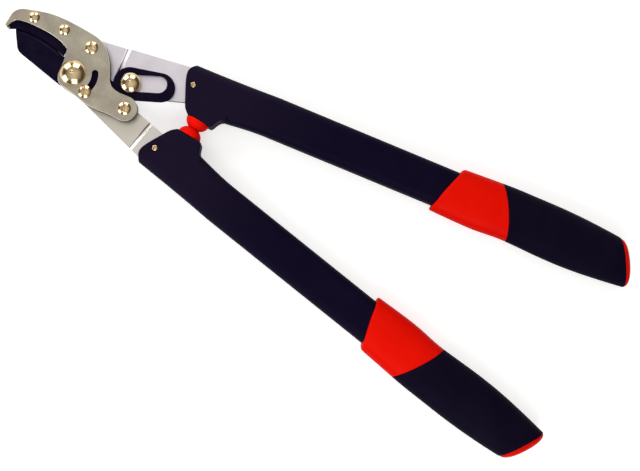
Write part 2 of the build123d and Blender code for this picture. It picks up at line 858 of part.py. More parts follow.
with BuildPart() as grip_form:
    for station, outer_side, inner_side, height in grip_profile:
        with BuildSketch(across(station, (inner_side - outer_side) / 2)):
            Ellipse((outer_side + inner_side) / 2, height / 2)
    loft()
    with BuildSketch(end_plane):
        Rectangle(100, 60)
    extrude(amount=40, mode=Mode.SUBTRACT)
    with BuildSketch(handle_frame.offset(-grip_clear)):
        with BuildLine():
            front_outer = (grip_front + grip_clear * grip_front_slant, -grip_clear)
            front_inner = (grip_front - grip_clear * grip_front_slant, grip_clear)
            ThreePointArc(front_outer, (grip_front - grip_front_bow, 0), front_inner)
            Polyline(front_inner, (grip_front - 40, grip_clear), (grip_front - 40, -grip_clear), front_outer)
        make_face()
    extrude(amount=2 * grip_clear, mode=Mode.SUBTRACT)

with BuildPart() as lower_grip:
    add(grip_form)
    fillet(lower_grip.faces().sort_by(Axis.X)[-1].edges(), grip_end_round)
    with BuildSketch(handle_frame.offset(-grip_clear)):
        with BuildLine():
            joint_outer = (grip_joint - grip_clear * grip_joint_slant, -grip_clear)
            joint_inner = (grip_joint + grip_clear * grip_joint_slant, grip_clear)
            ThreePointArc(joint_outer, (grip_joint + grip_joint_bow, 0), joint_inner)
            Polyline(joint_inner, (grip_front - 40, grip_clear), (grip_front - 40, -grip_clear), joint_outer)
        make_face()
    extrude(amount=2 * grip_clear, mode=Mode.SUBTRACT)
    with BuildSketch(across(grip_front - 30, -shaft_shift)):
        RectangleRounded(
            2 * (shaft_half_width + grip_fit), shaft_height + 2 * grip_fit, shaft_round + grip_fit
        )
    extrude(amount=shaft_end - grip_front + 30, mode=Mode.SUBTRACT)
    with BuildSketch(end_plane):
        with Locations((cap_shift, 0)):
            Ellipse(plug_half_width + grip_fit, plug_half_height + grip_fit)
    extrude(amount=-plug_length - 0.5, mode=Mode.SUBTRACT)

with BuildPart() as lower_collar:
    add(grip_form)
    with BuildSketch(handle_frame.offset(-grip_clear)):
        with BuildLine():
            ThreePointArc(joint_outer, (grip_joint + grip_joint_bow, 0), joint_inner)
            Polyline(joint_inner, (grip_end + 40, grip_clear), (grip_end + 40, -grip_clear), joint_outer)
        make_face()
    extrude(amount=2 * grip_clear, mode=Mode.SUBTRACT)
    fillet(lower_collar.faces().sort_by(Axis.X)[0].edges(), collar_round)
    with BuildSketch(across(grip_front - 30, -shaft_shift)):
        RectangleRounded(
            2 * (shaft_half_width + grip_fit), shaft_height + 2 * grip_fit, shaft_round + grip_fit
        )
    extrude(amount=shaft_end - grip_front + 30, mode=Mode.SUBTRACT)

with BuildPart() as lower_end_cap:
    with BuildSketch(end_plane):
        with Locations((cap_shift, 0)):
            Ellipse(cap_half_width, cap_half_height)
    extrude(amount=cap_thickness)
    fillet(lower_end_cap.faces().sort_by(Axis.X)[-1].edges(), cap_round)
    with BuildSketch(end_plane):
        with Locations((cap_shift, 0)):
            Ellipse(plug_half_width, plug_half_height)
    extrude(amount=-plug_length)

# The upper handle's pieces are the lower ones seen in the plane midway between the handles
upper_socket = mirror(upper_arm_plan(socket_fit), mirror_plane)

with BuildPart() as upper_shaft:
    mirror(lower_shaft.part, about=mirror_plane)
    with BuildSketch(Plane.XY.offset(arm_low - socket_fit)):
        add(upper_socket)
    extrude(amount=arm_thickness + 2 * socket_fit, mode=Mode.SUBTRACT)
with BuildPart() as upper_shaft_screw:
    mirror(lower_shaft_screw.part, about=mirror_plane)
with BuildPart() as upper_bumper:
    mirror(lower_bumper.part, about=mirror_plane)
with BuildPart() as upper_grip:
    mirror(lower_grip.part, about=mirror_plane)
with BuildPart() as upper_collar:
    mirror(lower_collar.part, about=mirror_plane)
with BuildPart() as upper_end_cap:
    mirror(lower_end_cap.part, about=mirror_plane)

pieces = {
    "front_plate": front_plate,
    "back_plate": back_plate,
    "anvil": anvil,
    "anvil_rivets": anvil_rivets,
    "blade": blade,
    "pivot_bolt": pivot_bolt,
    "pivot_sleeve": pivot_sleeve,
    "pivot_washer": pivot_washer,
    "pivot_nut": pivot_nut,
    "arm_pivot_screw": arm_pivot_screw,
    "arm_pivot_sleeve": arm_pivot_sleeve,
    "arm_pivot_washer": arm_pivot_washer,
    "arm_pivot_nut": arm_pivot_nut,
    "stop_screw": stop_screw,
    "link_bolt": link_bolt,
    "link_bush": link_bush,
    "link_nut": link_nut,
    "lower_arm": lower_arm,
    "lower_arm_screw": lower_arm_screw,
    "lower_arm_sleeve": lower_arm_sleeve,
    "lower_arm_nut": lower_arm_nut,
    "upper_arm": upper_arm,
    "lower_shaft": lower_shaft,
    "lower_shaft_screw": lower_shaft_screw,
    "lower_bumper": lower_bumper,
    "lower_collar": lower_collar,
    "lower_grip": lower_grip,
    "lower_end_cap": lower_end_cap,
    "upper_shaft": upper_shaft,
    "upper_shaft_screw": upper_shaft_screw,
    "upper_bumper": upper_bumper,
    "upper_collar": upper_collar,
    "upper_grip": upper_grip,
    "upper_end_cap": upper_end_cap,
}

os.makedirs("parts", exist_ok=True)
for name, piece in pieces.items():
    piece.part.label = name
    export_step(piece.part, f"parts/{name}.step")
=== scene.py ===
"""Anvil lopper with a compound linkage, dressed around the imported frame.

Everything is in metres in the frame of the construction model: the origin lies on the main pivot's
axis at the bench, +Z points out of the front of the tool and +X runs back midway between the handles.
"""

import json
import logging
import math
from collections.abc import Callable
from dataclasses import dataclass, field
from enum import Enum

import bpy
import numpy as np
from mathutils import Euler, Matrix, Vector

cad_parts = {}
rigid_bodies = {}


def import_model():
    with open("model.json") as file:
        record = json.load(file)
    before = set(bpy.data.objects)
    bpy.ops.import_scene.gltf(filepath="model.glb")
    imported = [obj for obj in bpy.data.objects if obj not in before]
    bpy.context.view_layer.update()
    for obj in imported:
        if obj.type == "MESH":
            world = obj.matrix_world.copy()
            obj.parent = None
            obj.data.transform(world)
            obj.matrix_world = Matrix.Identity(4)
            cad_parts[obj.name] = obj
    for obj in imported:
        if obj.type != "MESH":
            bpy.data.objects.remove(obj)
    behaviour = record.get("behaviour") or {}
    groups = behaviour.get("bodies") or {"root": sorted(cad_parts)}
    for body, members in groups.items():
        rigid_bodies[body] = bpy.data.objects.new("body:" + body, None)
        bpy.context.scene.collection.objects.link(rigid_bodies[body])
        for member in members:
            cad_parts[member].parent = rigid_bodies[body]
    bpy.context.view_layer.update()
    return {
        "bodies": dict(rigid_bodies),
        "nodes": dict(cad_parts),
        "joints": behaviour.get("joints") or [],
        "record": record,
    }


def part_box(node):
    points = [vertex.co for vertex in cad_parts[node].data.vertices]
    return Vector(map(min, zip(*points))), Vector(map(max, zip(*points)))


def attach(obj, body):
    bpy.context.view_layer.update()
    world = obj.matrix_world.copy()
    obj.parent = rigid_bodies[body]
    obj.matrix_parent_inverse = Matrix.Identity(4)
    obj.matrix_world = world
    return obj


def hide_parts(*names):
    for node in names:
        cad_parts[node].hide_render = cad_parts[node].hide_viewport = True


LOG = logging.getLogger("lopper")
MM = 0.001

Point = tuple[float, float, float]
Colour = tuple[float, float, float]
Row = tuple[float, float, float]
Line = Callable[[np.ndarray], np.ndarray]


class Body(Enum):
    """Bodies of the tool that pieces ride on."""

    HEAD = "head_and_lower_handle"
    UPPER = "upper_handle"
    BLADE = "blade"


class Side(Enum):
    """The two handles: the lower one is fixed to the head, the upper one is its mirror image."""

    LOWER = "lower"
    UPPER = "upper"

    @property
    def body(self) -> Body:
        """Body that this handle's pieces ride on."""
        return Body.HEAD if self is Side.LOWER else Body.UPPER


class Nodes:
    """Small helper that lays out one procedural material."""

    def __init__(self, name: str) -> None:
        """Makes an empty material.

        Args:
            name: The material's name.
        """
        self.material = bpy.data.materials.new(name)
        self.material.use_nodes = True
        self.tree = self.material.node_tree
        self.tree.nodes.clear()
        self.output = self.tree.nodes.new("ShaderNodeOutputMaterial")
        self.shader = self.tree.nodes.new("ShaderNodeBsdfPrincipled")
        self.link(self.shader.outputs["BSDF"], self.output.inputs["Surface"])
        self.place = self.add("ShaderNodeTexCoord").outputs["Object"]

    def add(self, kind: str, **settings: object) -> bpy.types.Node:
        """Adds a node of a kind, with its settings, and returns it."""
        node = self.tree.nodes.new(kind)
        for key, value in settings.items():
            setattr(node, key, value)
        return node

    def link(self, source: bpy.types.NodeSocket, target: bpy.types.NodeSocket) -> None:
        """Joins two sockets."""
        self.tree.links.new(source, target)

    def stretched(self, scale: Point, turn: float = 0.0) -> bpy.types.NodeSocket:
        """Object coordinates scaled apart, after a turn about Z in degrees."""
        mapping = self.add("ShaderNodeMapping")
        mapping.inputs["Rotation"].default_value = (0.0, 0.0, math.radians(turn))
        mapping.inputs["Scale"].default_value = scale
        self.link(self.place, mapping.inputs["Vector"])
        return mapping.outputs["Vector"]

    def noise(self, vector: bpy.types.NodeSocket, scale: float, detail: float = 3.0,
              roughness: float = 0.55) -> bpy.types.NodeSocket:
        """Fractal noise over the given coordinates, from 0 to 1."""
        node = self.add("ShaderNodeTexNoise")
        node.inputs["Scale"].default_value = scale
        node.inputs["Detail"].default_value = detail
        node.inputs["Roughness"].default_value = roughness
        self.link(vector, node.inputs["Vector"])
        return node.outputs["Fac"]

    def remap(self, value: bpy.types.NodeSocket, low: float, high: float, new_low: float,
              new_high: float) -> bpy.types.NodeSocket:
        """Value moved from one range to another, held within it."""
        node = self.add("ShaderNodeMapRange")
        ends = {"From Min": low, "From Max": high, "To Min": new_low, "To Max": new_high}
        for name, number in ends.items():
            node.inputs[name].default_value = number
        self.link(value, node.inputs["Value"])
        return node.outputs["Result"]

    def ramp(self, value: bpy.types.NodeSocket,
             stops: list[tuple[float, Colour]]) -> bpy.types.NodeSocket:
        """Colour read from a ramp of (place, colour) stops."""
        node = self.add("ShaderNodeValToRGB")
        elements = node.color_ramp.elements
        while len(elements) < len(stops):
            elements.new(0.5)
        for element, (place, colour) in zip(elements, stops):
            element.position = place
            element.color = (*colour, 1.0)
        self.link(value, node.inputs["Fac"])
        return node.outputs["Color"]

    def mix(self, share: bpy.types.NodeSocket, first: bpy.types.NodeSocket,
            second: Colour) -> bpy.types.NodeSocket:
        """First colour, turned into the second one as share goes to 1."""
        node = self.add("ShaderNodeMix", data_type="RGBA")
        self.link(share, node.inputs["Factor"])
        self.link(first, node.inputs["A"])
        node.inputs["B"].default_value = (*second, 1.0)
        return node.outputs["Result"]

    def bump(self, height: bpy.types.NodeSocket, distance: float, strength: float,
             base: bpy.types.NodeSocket | None = None) -> bpy.types.NodeSocket:
        """Surface normal bent by a height, which is scaled to a distance in metres."""
        node = self.add("ShaderNodeBump")
        node.inputs["Distance"].default_value = distance
        node.inputs["Strength"].default_value = strength
        self.link(height, node.inputs["Height"])
        if base is not None:
            self.link(base, node.inputs["Normal"])
        return node.outputs["Normal"]

    def product(self, first: bpy.types.NodeSocket,
                second: bpy.types.NodeSocket) -> bpy.types.NodeSocket:
        """One value times another."""
        node = self.add("ShaderNodeMath", operation="MULTIPLY")
        self.link(first, node.inputs[0])
        self.link(second, node.inputs[1])
        return node.outputs["Value"]

    def along(self, axis: str) -> bpy.types.NodeSocket:
        """Place along one axis of the frame, in metres."""
        parts = self.add("ShaderNodeSeparateXYZ")
        self.link(self.place, parts.inputs["Vector"])
        return parts.outputs[axis]

    def upward(self) -> bpy.types.NodeSocket:
        """How squarely the true face looks along Z, from 0 on a side wall to 1 on a flat face."""
        geometry = self.add("ShaderNodeNewGeometry")
        parts = self.add("ShaderNodeSeparateXYZ")
        self.link(geometry.outputs["True Normal"], parts.inputs["Vector"])
        size = self.add("ShaderNodeMath", operation="ABSOLUTE")
        self.link(parts.outputs["Z"], size.inputs[0])
        return size.outputs["Value"]

    def distance_from(self, point: Point) -> bpy.types.NodeSocket:
        """Distance from a point of the frame, in metres."""
        node = self.add("ShaderNodeVectorMath", operation="DISTANCE")
        node.inputs[1].default_value = point
        self.link(self.place, node.inputs[0])
        return node.outputs["Value"]

    def surface(self, shader: bpy.types.NodeSocket) -> bpy.types.Material:
        """Puts another shader on the surface in place of the principled one, and returns the material."""
        self.tree.nodes.remove(self.shader)
        self.link(shader, self.output.inputs["Surface"])
        return self.material


def seen_directly(tree: bpy.types.NodeTree) -> bpy.types.NodeSocket:
    """Value that is 1 for rays of the camera, reflections and transmission, and 0 for rays of light only."""
    path = tree.nodes.new("ShaderNodeLightPath")
    seen = path.outputs["Is Camera Ray"]
    for kind in ("Is Glossy Ray", "Is Transmission Ray"):
        either = tree.nodes.new("ShaderNodeMath")
        either.operation = "MAXIMUM"
        tree.links.new(seen, either.inputs[0])
        tree.links.new(path.outputs[kind], either.inputs[1])
        seen = either.outputs["Value"]
    return seen


@dataclass(frozen=True)
class RolledSteel:
    """Plated sheet or flat bar with rolling streaks and clouds on its faces, and painted shade on its side
    walls.

    A sheet's chamfered edges may carry a painted highlight. A stepped bar may have a painted shade line
    between its two levels, where its step rises, and darker, warmer painted shade at its root.
    """

    name: str
    light: Colour
    dark: Colour
    # Colour of the painted shade on the side walls, also used for the painted shade line of a step.
    wall: Colour
    roughness: float
    streak_turn: float
    # Colour of the painted highlight on chamfered edges and slanted faces.
    edge_highlight: Colour | None = None
    # Heights between which the step's painted shade line lies.
    crease_shade: tuple[float, float] | None = None
    # Colour of the painted shade at the root, darker and warmer than the faces.
    root: Colour | None = None
    root_shade_levels: tuple[float, float] = (0.0140, 0.0150)
    root_shade_sides: tuple[float, float] = (0.002, 0.012)

    def material(self) -> bpy.types.Material:
        """Builds the material.

        Returns:
            A metal whose tone drifts along the rolling direction and clouds over a few centimetres.
        """
        nodes = Nodes(self.name)
        streaks = nodes.noise(nodes.stretched((18.0, 900.0, 18.0), self.streak_turn), 1.0, 4.0, 0.6)
        clouds = nodes.noise(nodes.place, 55.0, 5.0, 0.6)
        blend = nodes.add("ShaderNodeMath", operation="MULTIPLY_ADD")
        blend.inputs[1].default_value = 0.25
        nodes.link(streaks, blend.inputs[0])
        nodes.link(nodes.remap(clouds, 0.32, 0.68, 0.05, 0.75), blend.inputs[2])
        tone = nodes.ramp(blend.outputs["Value"], [(0.15, self.dark), (0.85, self.light)])
        facing = nodes.upward()
        # Painted shade: the root of a stepped bar is coloured darker and warmer, fading up the step.
        if self.root is not None:
            tone = nodes.mix(self._root_shade_share(nodes), tone, self.root)
        # Painted shade: a dark line is coloured in along the step, between its two levels.
        if self.crease_shade is not None:
            tone = nodes.mix(self._crease_shade_share(nodes, facing), tone, self.wall)
        # Painted highlight: chamfered edges and slanted faces are coloured brighter.
        if self.edge_highlight is not None:
            tone = nodes.mix(nodes.remap(facing, 0.9, 0.96, 1.0, 0.0), tone, self.edge_highlight)
        # Painted shade: the side walls are coloured dark.
        tone = nodes.mix(nodes.remap(facing, 0.2, 0.5, 1.0, 0.0), tone, self.wall)
        nodes.link(tone, nodes.shader.inputs["Base Color"])
        nodes.shader.inputs["Metallic"].default_value = 1.0
        grain = nodes.noise(nodes.stretched((200.0, 2600.0, 200.0), self.streak_turn), 1.0, 2.0)
        rough = nodes.remap(streaks, 0.2, 0.8, self.roughness - 0.06, self.roughness + 0.08)
        nodes.link(rough, nodes.shader.inputs["Roughness"])
        nodes.link(nodes.bump(grain, 0.00002, 0.35), nodes.shader.inputs["Normal"])
        return nodes.material

    def _root_shade_share(self, nodes: Nodes) -> bpy.types.NodeSocket:
        """Share of the root's painted shade: it fades up the step and towards the upper side of the head."""
        low = nodes.remap(nodes.along("Z"), *self.root_shade_levels, 1.0, 0.6)
        near = nodes.remap(nodes.along("Y"), *self.root_shade_sides, 0.85, 0.0)
        return nodes.product(low, near)

    def _crease_shade_share(self, nodes: Nodes, facing: bpy.types.NodeSocket) -> bpy.types.NodeSocket:
        """Share of the painted shade line: it lies between the step's two levels, and not on the side walls.
        """
        height = nodes.along("Z")
        foot, crown = self.crease_shade
        begun = nodes.remap(height, foot, foot + 0.0001, 0.0, 1.0)
        left = nodes.remap(height, crown, crown + 0.0003, 0.85, 0.0)
        return nodes.product(nodes.product(begun, left), nodes.remap(facing, 0.6, 0.7, 0.0, 1.0))


@dataclass(frozen=True)
class BlackCoating:
    """Smooth non-stick coating on the blade and the anvil, with a faint orange peel."""

    name: str
    colour: Colour
    roughness: float
    specular: float
    tint: Colour
    lift: float = 1.7
    haze: float = 0.001

    def material(self) -> bpy.types.Material:
        """Builds the material.

        Returns:
            A near-black coating with soft rub marks in its gloss.
        """
        nodes = Nodes(self.name)
        clouds = nodes.noise(nodes.place, 60.0, 4.0)
        lifted = tuple(self.lift * part + self.haze for part in self.colour)
        tone = nodes.ramp(clouds, [(0.35, self.colour), (0.75, lifted)])
        nodes.link(tone, nodes.shader.inputs["Base Color"])
        rub = nodes.noise(nodes.stretched((120.0, 900.0, 300.0), 32.0), 1.0, 3.0)
        nodes.link(nodes.remap(rub, 0.3, 0.7, self.roughness - 0.05, self.roughness + 0.08),
                   nodes.shader.inputs["Roughness"])
        gloss = nodes.remap(nodes.upward(), 0.2, 0.6, 0.0, self.specular)
        nodes.link(gloss, nodes.shader.inputs["Specular IOR Level"])
        nodes.shader.inputs["Specular Tint"].default_value = (*self.tint, 1.0)
        peel = nodes.noise(nodes.place, 900.0, 2.0)
        nodes.link(nodes.bump(peel, 0.00002, 0.25), nodes.shader.inputs["Normal"])
        return nodes.material


@dataclass(frozen=True)
class PolishedPlating:
    """Polished plating on the fasteners, warm and faintly uneven."""

    name: str
    light: Colour
    dark: Colour
    roughness: float

    def material(self) -> bpy.types.Material:
        """Builds the material.

        Returns:
            A clear metal with small drifts of tone and gloss.
        """
        nodes = Nodes(self.name)
        clouds = nodes.noise(nodes.place, 260.0, 3.0)
        tone = nodes.ramp(clouds, [(0.3, self.dark), (0.7, self.light)])
        nodes.link(tone, nodes.shader.inputs["Base Color"])
        nodes.shader.inputs["Metallic"].default_value = 1.0
        scuffs = nodes.noise(nodes.place, 1500.0, 3.0)
        nodes.link(nodes.remap(scuffs, 0.3, 0.75, self.roughness, self.roughness + 0.1),
                   nodes.shader.inputs["Roughness"])
        nodes.link(nodes.bump(scuffs, 0.00001, 0.25), nodes.shader.inputs["Normal"])
        return nodes.material


@dataclass(frozen=True)
class MouldedPlastic:
    """Moulded plastic or rubber with a spark-eroded grain, and painted shade on its side walls.

    The end near the head may carry painted light, a lighter tone that fades between two places along X.
    """

    name: str
    colour: Colour
    lifted: Colour
    # Colour of the painted shade on the side walls.
    side: Colour
    roughness: float
    grain_scale: float
    grain_depth: float
    specular: float
    tint: Colour
    # Colour of the painted light on the end near the head.
    front: Colour | None = None
    front_light_fade: tuple[float, float] = (0.14, 0.22)

    def material(self) -> bpy.types.Material:
        """Builds the material.

        Returns:
            A plastic whose grain shows in its gloss and in its normal.
        """
        nodes = Nodes(self.name)
        clouds = nodes.noise(nodes.place, 30.0, 3.0)
        tone = nodes.ramp(clouds, [(0.35, self.colour), (0.7, self.lifted)])
        # Painted light: the end near the head is coloured lighter.
        if self.front is not None:
            near = nodes.remap(nodes.along("X"), *self.front_light_fade, 1.0, 0.0)
            tone = nodes.mix(near, tone, self.front)
        facing = nodes.upward()
        # Painted shade: the side walls are coloured darker.
        nodes.link(nodes.mix(nodes.remap(facing, 0.35, 0.9, 1.0, 0.0), tone, self.side),
                   nodes.shader.inputs["Base Color"])
        grain = nodes.noise(nodes.place, self.grain_scale, 2.0, 0.6)
        nodes.link(nodes.remap(grain, 0.3, 0.7, self.roughness - 0.05, self.roughness + 0.07),
                   nodes.shader.inputs["Roughness"])
        nodes.link(nodes.remap(facing, 0.15, 0.6, 0.3 * self.specular, self.specular),
                   nodes.shader.inputs["Specular IOR Level"])
        nodes.shader.inputs["Specular Tint"].default_value = (*self.tint, 1.0)
        nodes.link(nodes.bump(grain, self.grain_depth, 0.5), nodes.shader.inputs["Normal"])
        return nodes.material


def placed(mesh: bpy.types.Mesh) -> bpy.types.Object:
    """New object of a mesh, under the mesh's name and at the origin of the scene."""
    piece = bpy.data.objects.new(mesh.name, mesh)
    bpy.context.scene.collection.objects.link(piece)
    return piece


def skin(name: str, rings: np.ndarray, capped: bool = True) -> bpy.types.Object:
    """Smooth skin over a stack of rings.

    Point j of ring i joins points j and j + 1 of ring i + 1. A capped stack is closed by a fan about the
    middle of its first ring and one about the middle of its last ring. Otherwise the last ring joins the
    first one.

    Args:
        name: The piece's name.
        rings: Rows of points in metres, shaped (rings, points in a ring, 3), turning left about the way
            from the first ring to the last one.
        capped: Whether fans close the ends.

    Returns:
        The new object.
    """
    count, around = rings.shape[:2]
    points = rings.reshape(-1, 3)
    steps = count - 1 if capped else count
    row = np.repeat(np.arange(steps), around)
    column = np.tile(np.arange(around), steps)
    beside = (column + 1) % around
    above = (row + 1) % count
    quads = np.stack(
        [row * around + column, row * around + beside, above * around + beside, above * around + column],
        axis=1,
    )
    faces = [quads]
    if capped:
        points = np.concatenate([points, rings[[0, -1]].mean(axis=1)])
        ends = np.arange(around)
        beside = (ends + 1) % around
        top = (count - 1) * around
        foot_fan = np.stack([beside, ends, np.full(around, count * around)], axis=1)
        head_fan = np.stack([top + ends, top + beside, np.full(around, count * around + 1)], axis=1)
        faces += [foot_fan, head_fan]
    mesh = bpy.data.meshes.new(name)
    mesh.from_pydata(points.tolist(), [], [face for group in faces for face in group.tolist()])
    mesh.polygons.foreach_set("use_smooth", np.ones(len(mesh.polygons), dtype=bool))
    return placed(mesh)


def rounded(corners: list[tuple[float, float]], radii: list[float], steps: int = 5) -> np.ndarray:
    """Profile through the given corners, each rounded by its radius.

    A corner becomes a quadratic curve from one radius before it to one radius after it, with the corner
    as its middle control point: (1-u)^2 before + 2u(1-u) corner + u^2 after.

    Args:
        corners: Points of the profile.
        radii: Radius at each inner corner.
        steps: Points in each rounding.

    Returns:
        The profile's points, shaped (points, 2).
    """
    path = np.array(corners)
    legs = np.diff(path, axis=0)
    legs /= np.linalg.norm(legs, axis=1)[:, None]
    reach = np.array(radii)[:, None]
    middle = path[1:-1]
    before = middle - reach * legs[:-1]
    after = middle + reach * legs[1:]
    share = np.linspace(0.0, 1.0, steps)[None, :, None]
    turns = ((1 - share) ** 2 * before[:, None] + 2 * share * (1 - share) * middle[:, None]
             + share ** 2 * after[:, None])
    return np.concatenate([path[:1], turns.reshape(-1, 2), path[-1:]])


def smooth_through(knots: np.ndarray, values: np.ndarray, places: np.ndarray) -> np.ndarray:
    """Natural cubic spline through (knot, value) pairs, read at the given places.

    The second derivatives solve the usual three-term equations, and are zero at both ends.

    Args:
        knots: Increasing places of the known values.
        values: The known values.
        places: Where to read the curve.

    Returns:
        One value for each place.
    """
    gaps = np.diff(knots)
    slopes = np.diff(values) / gaps
    size = len(knots)
    system = np.eye(size)
    inner = np.arange(1, size - 1)
    system[inner, inner - 1] = gaps[:-1]
    system[inner, inner] = 2 * (gaps[:-1] + gaps[1:])
    system[inner, inner + 1] = gaps[1:]
    right = np.zeros(size)
    right[inner] = 6 * np.diff(slopes)
    bend = np.linalg.solve(system, right)
    span = np.clip(np.searchsorted(knots, places) - 1, 0, size - 2)
    gap = gaps[span]
    ahead = (knots[span + 1] - places) / gap
    behind = (places - knots[span]) / gap
    return (
        ahead * values[span] + behind * values[span + 1]
        + ((ahead ** 3 - ahead) * bend[span] + (behind ** 3 - behind) * bend[span + 1]) * gap ** 2 / 6
    )


@dataclass
class TurnedFastener:
    """Bolt or screw turned about an axis along Z, sized from the node that it stands for.

    The head stands on its seat. It has an upright rim and a round cap, which may have a dimple or a cross
    recess. The cross's sizes other than its depth are shares of the head's radius.
    """

    node: str
    body: Body
    shank: float
    seat: float
    rim: float = 0.6 * MM
    dimple: float = 0.0
    cross: float = 0.0
    cross_turn: float = 28.0
    around: int = 72
    foot_edge: float = 0.3 * MM
    neck_edge: float = 0.15 * MM
    rim_edge: float = 0.25 * MM
    cap_rings: int = 44
    bar_half: float = 0.22
    bar_flank: float = 0.12
    bar_reach: float = 0.66
    bar_end: float = 0.2

    def build(self, finishes: "Finishes") -> None:
        """Builds the fastener and lets it stand for its node.

        Args:
            finishes: Where its plating comes from.
        """
        low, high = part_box(self.node)
        radius = (high.x - low.x) / 2
        profile = self._profile(radius, low.z, high.z)
        turn = np.linspace(0.0, 2 * np.pi, self.around, endpoint=False)
        x = profile[:, :1] * np.cos(turn)
        y = profile[:, :1] * np.sin(turn)
        on_top = (profile[:, 1:] > self.seat + 0.9 * self.rim) & (profile[:, :1] < 0.93 * radius)
        z = profile[:, 1:] - np.where(on_top, self._recess(x, y, radius), 0.0)
        rings = np.stack([(low.x + high.x) / 2 + x, (low.y + high.y) / 2 + y, z], axis=2)
        finishes.stand_in(skin(f"{self.node}_turned", rings), self.node, self.body, "fastener_metal")

    def _profile(self, radius: float, low: float, high: float) -> np.ndarray:
        """Radius and height from the foot's edge up to near the top of the head.

        The head is a round cap: its rise at a radius r is sqrt(ball^2 - r^2) less (ball - cap's height),
        where ball is the radius of the sphere that the cap is cut from. A dimple sinks the cap's middle
        by a cosine wave.

        Args:
            radius: The head's radius.
            low: Height of the foot.
            high: Height of the head's top.

        Returns:
            Points of (radius, height), shaped (points, 2).
        """
        shoulder = self.seat + self.rim
        stem = rounded(
            [(0.5 * self.shank, low), (self.shank, low), (self.shank, self.seat), (radius, self.seat),
             (radius, shoulder)],
            [self.foot_edge, self.neck_edge, self.rim_edge], 4,
        )
        cap = high - self.seat - self.rim
        ball = (radius ** 2 + cap ** 2) / (2 * cap)
        inward = np.linspace(0.5 * np.pi, 0.0, self.cap_rings, endpoint=False)
        spread = radius * np.sin(inward) ** 1.15
        rise = np.sqrt(ball ** 2 - spread ** 2) - (ball - cap)
        if self.dimple:
            inside = np.clip(spread / self.dimple, 0.0, 1.0)
            rise = rise - 0.3 * self.dimple * (1 + np.cos(np.pi * inside))
        return np.concatenate([stem[:-1], np.stack([spread, shoulder + rise], axis=1)])

    def _recess(self, x: np.ndarray, y: np.ndarray, radius: float) -> np.ndarray:
        """Depth of the cross recess at points about the axis.

        Two crossed bars are sunk. Each is as deep as the smooth step u^2 (3 - 2u) of u, which is how far
        a point lies inside the bar's flank times how far it lies inside its end.

        Args:
            x: Distances from the axis.
            y: Distances from the axis.
            radius: The head's radius.

        Returns:
            Depth at each point.
        """
        turn = math.radians(self.cross_turn)
        along = np.abs(x * math.cos(turn) + y * math.sin(turn)) / radius
        beside = np.abs(y * math.cos(turn) - x * math.sin(turn)) / radius
        depth = np.zeros_like(x)
        for far, near in ((along, beside), (beside, along)):
            flank = np.clip((self.bar_half - near) / self.bar_flank, 0.0, 1.0)
            inside = flank * np.clip((self.bar_reach - far) / self.bar_end, 0.0, 1.0)
            depth = np.maximum(depth, inside * inside * (3 - 2 * inside))
        return self.cross * depth


@dataclass
class Fasteners:
    """Every turned fastener of the head and of the handles."""

    pivot_shank: float = 5.0 * MM
    pivot_rim: float = 2.0 * MM
    pivot_dimple: float = 1.9 * MM
    link_shank: float = 4.0 * MM
    link_rim: float = 1.7 * MM
    link_dimple: float = 1.6 * MM
    link_lift: float = 0.2 * MM
    arm_shank: float = 3.5 * MM
    lower_shank: float = 3.0 * MM
    stop_shank: float = 2.5 * MM
    stop_lift: float = 0.1 * MM
    cross: float = 1.3 * MM
    handle_shank: float = 1.9 * MM
    handle_head: float = 2.4 * MM
    handle_cap: float = 0.9 * MM
    handle_cross: float = 1.2 * MM

    def build(self, finishes: "Finishes") -> None:
        """Builds the bolts and screws on the levels of the plate and the blade that carry them."""
        plate_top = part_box("front_plate")[1].z
        blade_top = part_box("blade")[1].z
        fasteners = [
            TurnedFastener("pivot_bolt", Body.HEAD, self.pivot_shank, plate_top,
                           rim=self.pivot_rim, dimple=self.pivot_dimple, around=112),
            TurnedFastener("link_bolt", Body.UPPER, self.link_shank, blade_top + self.link_lift,
                           rim=self.link_rim, dimple=self.link_dimple, around=96),
            TurnedFastener("arm_pivot_screw", Body.HEAD, self.arm_shank, plate_top, cross=self.cross),
            TurnedFastener("lower_arm_screw", Body.HEAD, self.lower_shank, plate_top,
                           cross=self.cross, cross_turn=12.0),
            TurnedFastener("stop_screw", Body.BLADE, self.stop_shank, plate_top + self.stop_lift,
                           cross=self.cross, cross_turn=41.0),
        ]
        for side in Side:
            node = f"{side.value}_shaft_screw"
            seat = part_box(node)[1].z - self.handle_head
            fasteners.append(TurnedFastener(
                node, side.body, self.handle_shank, seat,
                rim=self.handle_head - self.handle_cap, cross=self.handle_cross, cross_turn=8.0,
            ))
        for fastener in fasteners:
            fastener.build(finishes)


def read_rows(rows: bpy.types.bpy_prop_collection, name: str) -> np.ndarray:
    """Vectors of a mesh's points or faces under one property name, shaped (rows, 3)."""
    values = np.empty(len(rows) * 3)
    rows.foreach_get(name, values)
    return values.reshape(-1, 3)


